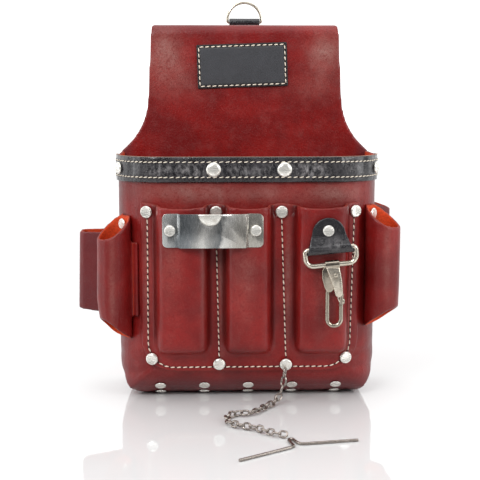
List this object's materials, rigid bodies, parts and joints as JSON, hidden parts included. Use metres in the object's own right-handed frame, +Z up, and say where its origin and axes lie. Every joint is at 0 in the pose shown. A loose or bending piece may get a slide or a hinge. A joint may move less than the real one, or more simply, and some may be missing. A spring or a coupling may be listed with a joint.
{
  "type": "electrician tool pouch",
  "caption": "Moulded leather belt pouch with slim front pockets, side tool loops, a tape clip, a swinging snap hook and a tape chain.",
  "frame": {"origin": "on the standing surface under the middle of the base, level with the middle of the main pocket from front to back", "axes": "+Z up; -Y is the front with the moulded pockets; +Y is the side against the wearer; +X is to the right seen from the front"},
  "size_m": [0.2681, 0.2582, 0.33],
  "materials": {
    "oxblood_leather": "pebbled semi-gloss oxblood",
    "black_leather": "creased glossy black",
    "label_cloth": "matt charcoal patch",
    "nickel_rivet": "bright nickel plate",
    "nickel_plate": "polished nickel plate",
    "steel_chain": "dull steel wire"
  },
  "bodies": {
    "pouch": {"back_panel": "oxblood_leather", "front_shell": "oxblood_leather", "base_insert": "oxblood_leather", "pocket_panel": "oxblood_leather", "loop_left_front": "oxblood_leather", "loop_right_front": "oxblood_leather", "loop_left_rear": "oxblood_leather", "loop_right_rear": "oxblood_leather", "rim_band": "black_leather", "ring_tab": "black_leather", "hook_tab": "black_leather", "label_patch": "label_cloth", "pocket_rivet_top_1": "nickel_rivet", "pocket_rivet_foot_1": "nickel_rivet", "pocket_rivet_top_2": "nickel_rivet", "pocket_rivet_foot_2": "nickel_rivet", "pocket_rivet_top_3": "nickel_rivet", "pocket_rivet_foot_3": "nickel_rivet", "pocket_rivet_top_4": "nickel_rivet", "pocket_rivet_foot_4": "nickel_rivet", "band_rivet_front_left": "nickel_rivet", "band_rivet_front_right": "nickel_rivet", "band_rivet_side_left": "nickel_rivet", "band_rivet_side_right": "nickel_rivet", "base_rivet_upper_1": "nickel_rivet", "base_rivet_upper_2": "nickel_rivet", "base_rivet_upper_3": "nickel_rivet", "base_rivet_upper_4": "nickel_rivet", "base_rivet_upper_5": "nickel_rivet", "base_rivet_lower_1": "nickel_rivet", "base_rivet_lower_2": "nickel_rivet", "base_rivet_lower_3": "nickel_rivet", "base_rivet_lower_4": "nickel_rivet", "base_rivet_lower_5": "nickel_rivet", "loop_rivet_left_front_top": "nickel_rivet", "loop_rivet_left_front_foot": "nickel_rivet", "loop_rivet_left_rear_top": "nickel_rivet", "loop_rivet_left_rear_foot": "nickel_rivet", "loop_rivet_right_front_top": "nickel_rivet", "loop_rivet_right_front_foot": "nickel_rivet", "loop_rivet_right_rear_top": "nickel_rivet", "loop_rivet_right_rear_foot": "nickel_rivet", "belt_flap_rivet_left": "nickel_rivet", "belt_flap_rivet_middle": "nickel_rivet", "belt_flap_rivet_right": "nickel_rivet", "tape_clip_rivet_left": "nickel_rivet", "tape_clip_rivet_right": "nickel_rivet", "hook_tab_rivet": "nickel_rivet", "ring_tab_rivet": "nickel_rivet", "tape_clip": "nickel_plate", "tape_chain": "steel_chain", "tape_t_bar": "steel_chain"},
    "top_ring": {"top_ring": "nickel_plate"},
    "hook_ring": {"hook_ring": "nickel_plate"},
    "snap_hook": {"snap_body": "nickel_plate", "snap_gate_pin": "nickel_plate"},
    "gate": {"snap_gate": "nickel_plate"}
  },
  "joints": [
    {"name": "top_ring_swing", "type": "hinge", "parent": "pouch", "child": "top_ring", "pos_m": [0, 0.05965, 0.313], "axis": [1, 0, 0], "range_deg": [-150, 80]},
    {"name": "hook_ring_swing", "type": "hinge", "parent": "pouch", "child": "hook_ring", "pos_m": [0.06342, -0.06505, 0.13027], "axis": [0.9951, 0, 0.0993], "range_deg": [-90, 0]},
    {"name": "snap_hook_swing", "type": "hinge", "parent": "hook_ring", "child": "snap_hook", "pos_m": [0.0673, -0.06505, 0.11759], "axis": [0.9951, 0, 0.0993], "range_deg": [-80, 0]},
    {"name": "gate_hinge", "type": "hinge", "parent": "snap_hook", "child": "gate", "pos_m": [0.0677, -0.06505, 0.10919], "axis": [0, 1, 0], "range_deg": [0, 10], "stiffness_Nm_per_rad": 0.02, "springref_deg": -17.19}
  ]
}
